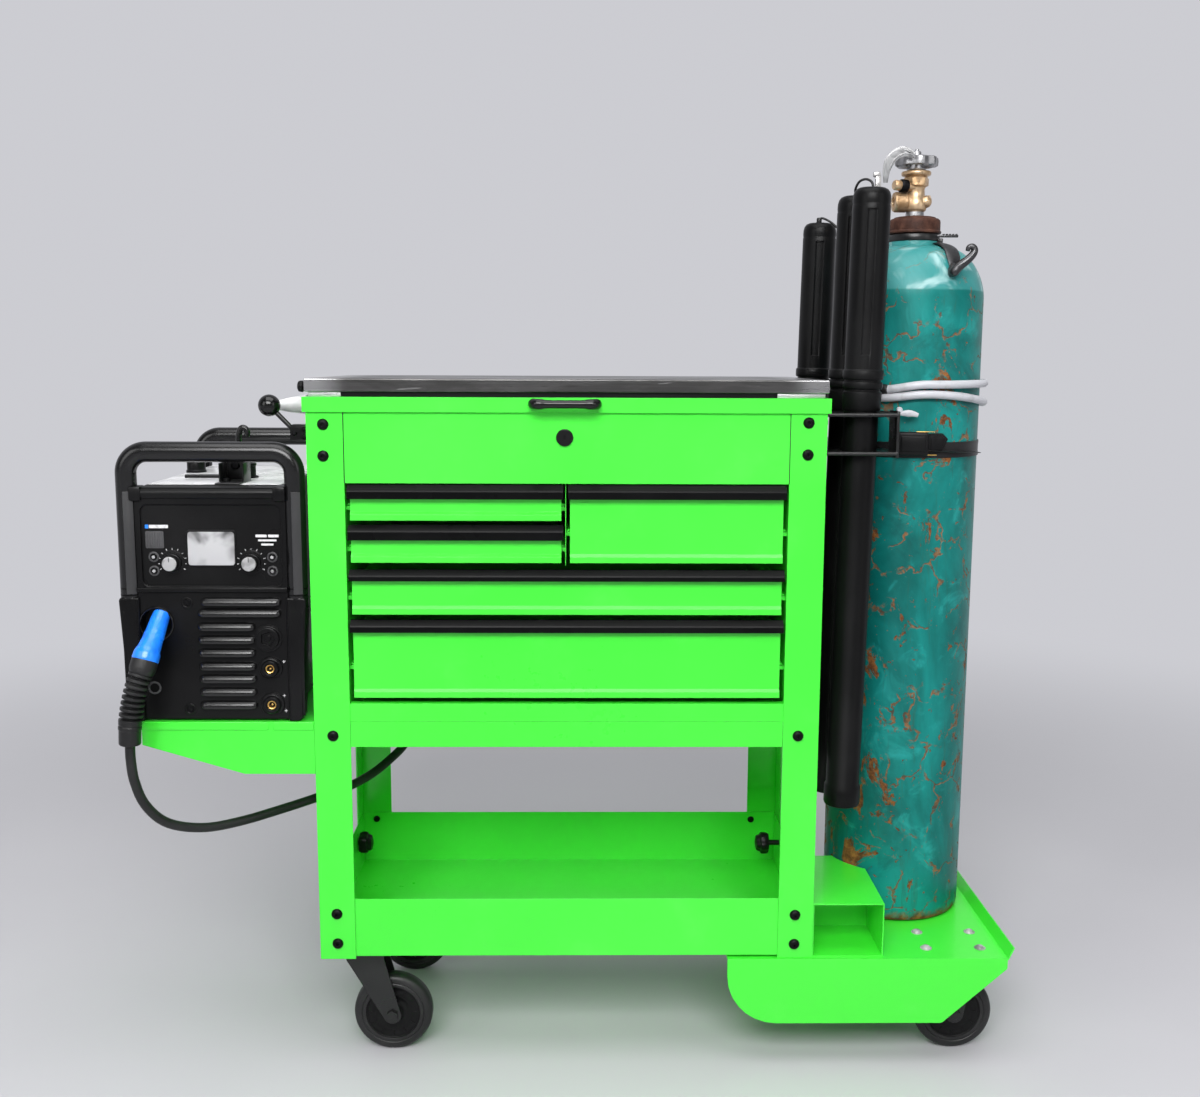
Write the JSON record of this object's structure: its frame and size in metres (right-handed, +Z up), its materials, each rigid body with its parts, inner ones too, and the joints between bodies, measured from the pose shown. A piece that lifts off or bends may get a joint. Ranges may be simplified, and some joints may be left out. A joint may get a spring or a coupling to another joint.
{
  "type": "welding cart",
  "caption": "Wheeled welding cart with drawers under a hinged worktop lid, an open tray, a welder on a side shelf, and a strapped gas cylinder and rod canisters at the other end.",
  "frame": {"origin": "on the floor, under the middle of the cart without its loose gun lead", "axes": "+X from the welder towards the gas cylinder, -Y towards the front with the drawers, +Z up"},
  "size_m": [1.3862, 0.8014, 1.4565],
  "materials": {
    "green_paint": "gloss powder coat",
    "black_plastic": "satin moulded",
    "black_metal": "satin powder coat",
    "black_rubber": "matt",
    "stainless_steel": "brushed",
    "teal_paint": "worn satin paint",
    "brass": "dull forged",
    "grey_vinyl": "smooth vinyl sleeve",
    "blue_plastic": "smooth",
    "welder_front": "textured moulding"
  },
  "bodies": {
    "cart": {"bottle_platform": "green_paint", "cabinet_back": "green_paint", "cabinet_floor": "green_paint", "cabinet_side_left": "green_paint", "cabinet_side_right": "green_paint", "compartment_pan": "green_paint", "corner_post_front_left": "green_paint", "corner_post_front_right": "green_paint", "corner_post_rear_left": "green_paint", "corner_post_rear_right": "green_paint", "cylinder_strap": "black_plastic", "cylinder_valve": "brass", "front_rail": "green_paint", "gas_cylinder": "teal_paint", "gun": "black_plastic", "gun_lead": "black_rubber", "gun_plug": "blue_plastic", "lead_coil": "black_rubber", "lower_tray": "green_paint", "rigid_fork_front": "black_metal", "rigid_fork_rear": "black_metal", "rod_canister_back": "black_plastic", "rod_canister_front": "black_plastic", "rod_canister_middle": "black_plastic", "rod_rack": "black_metal", "roll_bar_front": "black_metal", "roll_bar_rear": "black_metal", "welder_body": "black_metal", "welder_front": "welder_front", "welder_shelf": "green_paint", "wound_cable": "grey_vinyl"},
    "lid": {"lid_pan": "green_paint", "worktop": "stainless_steel", "lid_handle": "black_plastic"},
    "lock": {"lid_lock": "black_metal"},
    "swivel_front": {"swivel_fork_front": "black_metal"},
    "swivel_rear": {"swivel_fork_rear": "black_metal"},
    "wheel_swivel_front": {"swivel_wheel_front": "black_rubber"},
    "wheel_swivel_rear": {"swivel_wheel_rear": "black_rubber"},
    "wheel_rigid_front": {"rigid_wheel_front": "black_rubber"},
    "wheel_rigid_rear": {"rigid_wheel_rear": "black_rubber"},
    "knob_left": {"knob_left": "black_plastic"},
    "knob_right": {"knob_right": "black_plastic"},
    "handwheel": {"valve_handwheel": "stainless_steel"},
    "lever": {"ball_lever": "black_plastic"},
    "trigger": {"gun_trigger": "black_plastic"},
    "button_left_upper": {"button_left_upper": "black_plastic"},
    "button_left_lower": {"button_left_lower": "black_plastic"},
    "button_right_upper": {"button_right_upper": "black_plastic"},
    "button_right_lower": {"button_right_lower": "black_plastic"},
    "upper_left_drawer": {"upper_left_drawer": "green_paint", "upper_left_pull": "black_plastic"},
    "lower_left_drawer": {"lower_left_drawer": "green_paint", "lower_left_pull": "black_plastic"},
    "upper_right_drawer": {"upper_right_drawer": "green_paint", "upper_right_pull": "black_plastic"},
    "middle_drawer": {"middle_drawer": "green_paint", "middle_pull": "black_plastic"},
    "bottom_drawer": {"bottom_drawer": "green_paint", "bottom_pull": "black_plastic"}
  },
  "joints": [
    {"name": "lid_hinge", "type": "hinge", "parent": "cart", "child": "lid", "pos_m": [-0.01565, 0.18885, 1.0365], "axis": [-1, 0, 0], "range_deg": [0, 80]},
    {"name": "lock_turn", "type": "hinge", "parent": "cart", "child": "lock", "pos_m": [-0.01965, -0.21465, 1], "axis": [0, 1, 0], "range_deg": [0, 90]},
    {"name": "upper_left_drawer_slide", "type": "slide", "parent": "cart", "child": "upper_left_drawer", "axis": [0, -1, 0], "range_m": [0, 0.3]},
    {"name": "lower_left_drawer_slide", "type": "slide", "parent": "cart", "child": "lower_left_drawer", "axis": [0, -1, 0], "range_m": [0, 0.3]},
    {"name": "upper_right_drawer_slide", "type": "slide", "parent": "cart", "child": "upper_right_drawer", "axis": [0, -1, 0], "range_m": [0, 0.3]},
    {"name": "middle_drawer_slide", "type": "slide", "parent": "cart", "child": "middle_drawer", "axis": [0, -1, 0], "range_m": [0, 0.3]},
    {"name": "bottom_drawer_slide", "type": "slide", "parent": "cart", "child": "bottom_drawer", "axis": [0, -1, 0], "range_m": [0, 0.3]},
    {"name": "swivel_front_turn", "type": "hinge", "parent": "cart", "child": "swivel_front", "pos_m": [-0.34065, -0.15465, 0.1787], "axis": [0, 0, 1], "continuous": true},
    {"name": "wheel_swivel_front_roll", "type": "hinge", "parent": "swivel_front", "child": "wheel_swivel_front", "pos_m": [-0.29865, -0.15465, 0.0635], "axis": [0, 1, 0], "continuous": true},
    {"name": "swivel_rear_turn", "type": "hinge", "parent": "cart", "child": "swivel_rear", "pos_m": [-0.34065, 0.12035, 0.1787], "axis": [0, 0, 1], "continuous": true},
    {"name": "wheel_swivel_rear_roll", "type": "hinge", "parent": "swivel_rear", "child": "wheel_swivel_rear", "pos_m": [-0.29865, 0.12035, 0.0635], "axis": [0, 1, 0], "continuous": true},
    {"name": "wheel_rigid_front_roll", "type": "hinge", "parent": "cart", "child": "wheel_rigid_front", "pos_m": [0.61385, -0.15665, 0.0635], "axis": [0, 1, 0], "continuous": true},
    {"name": "wheel_rigid_rear_roll", "type": "hinge", "parent": "cart", "child": "wheel_rigid_rear", "pos_m": [0.61385, 0.13035, 0.0635], "axis": [0, 1, 0], "continuous": true},
    {"name": "knob_left_turn", "type": "hinge", "parent": "cart", "child": "knob_left", "pos_m": [-0.61145, -0.20465, 0.8095], "axis": [0, 1, 0], "range_deg": [-135, 135]},
    {"name": "knob_right_turn", "type": "hinge", "parent": "cart", "child": "knob_right", "pos_m": [-0.49275, -0.20465, 0.8095], "axis": [0, 1, 0], "range_deg": [-135, 135]},
    {"name": "button_left_upper_press", "type": "slide", "parent": "cart", "child": "button_left_upper", "axis": [0, 1, 0], "range_m": [0, 0.0015], "stiffness_N_per_m": 300},
    {"name": "button_left_lower_press", "type": "slide", "parent": "cart", "child": "button_left_lower", "axis": [0, 1, 0], "range_m": [0, 0.0015], "stiffness_N_per_m": 300},
    {"name": "button_right_upper_press", "type": "slide", "parent": "cart", "child": "button_right_upper", "axis": [0, 1, 0], "range_m": [0, 0.0015], "stiffness_N_per_m": 300},
    {"name": "button_right_lower_press", "type": "slide", "parent": "cart", "child": "button_right_lower", "axis": [0, 1, 0], "range_m": [0, 0.0015], "stiffness_N_per_m": 300},
    {"name": "handwheel_turn", "type": "hinge", "parent": "cart", "child": "handwheel", "pos_m": [0.55135, 0.03035, 1.436], "axis": [0, 0, 1], "range_deg": [0, 720]},
    {"name": "lever_swing", "type": "hinge", "parent": "cart", "child": "lever", "pos_m": [-0.42365, -0.18465, 1.004], "axis": [0, 1, 0], "range_deg": [0, 40]},
    {"name": "trigger_pull", "type": "hinge", "parent": "cart", "child": "trigger", "pos_m": [0.22235, 0.33435, 0.0165], "axis": [0, 0, 1], "range_deg": [0, 6], "stiffness_Nm_per_rad": 0.2}
  ]
}
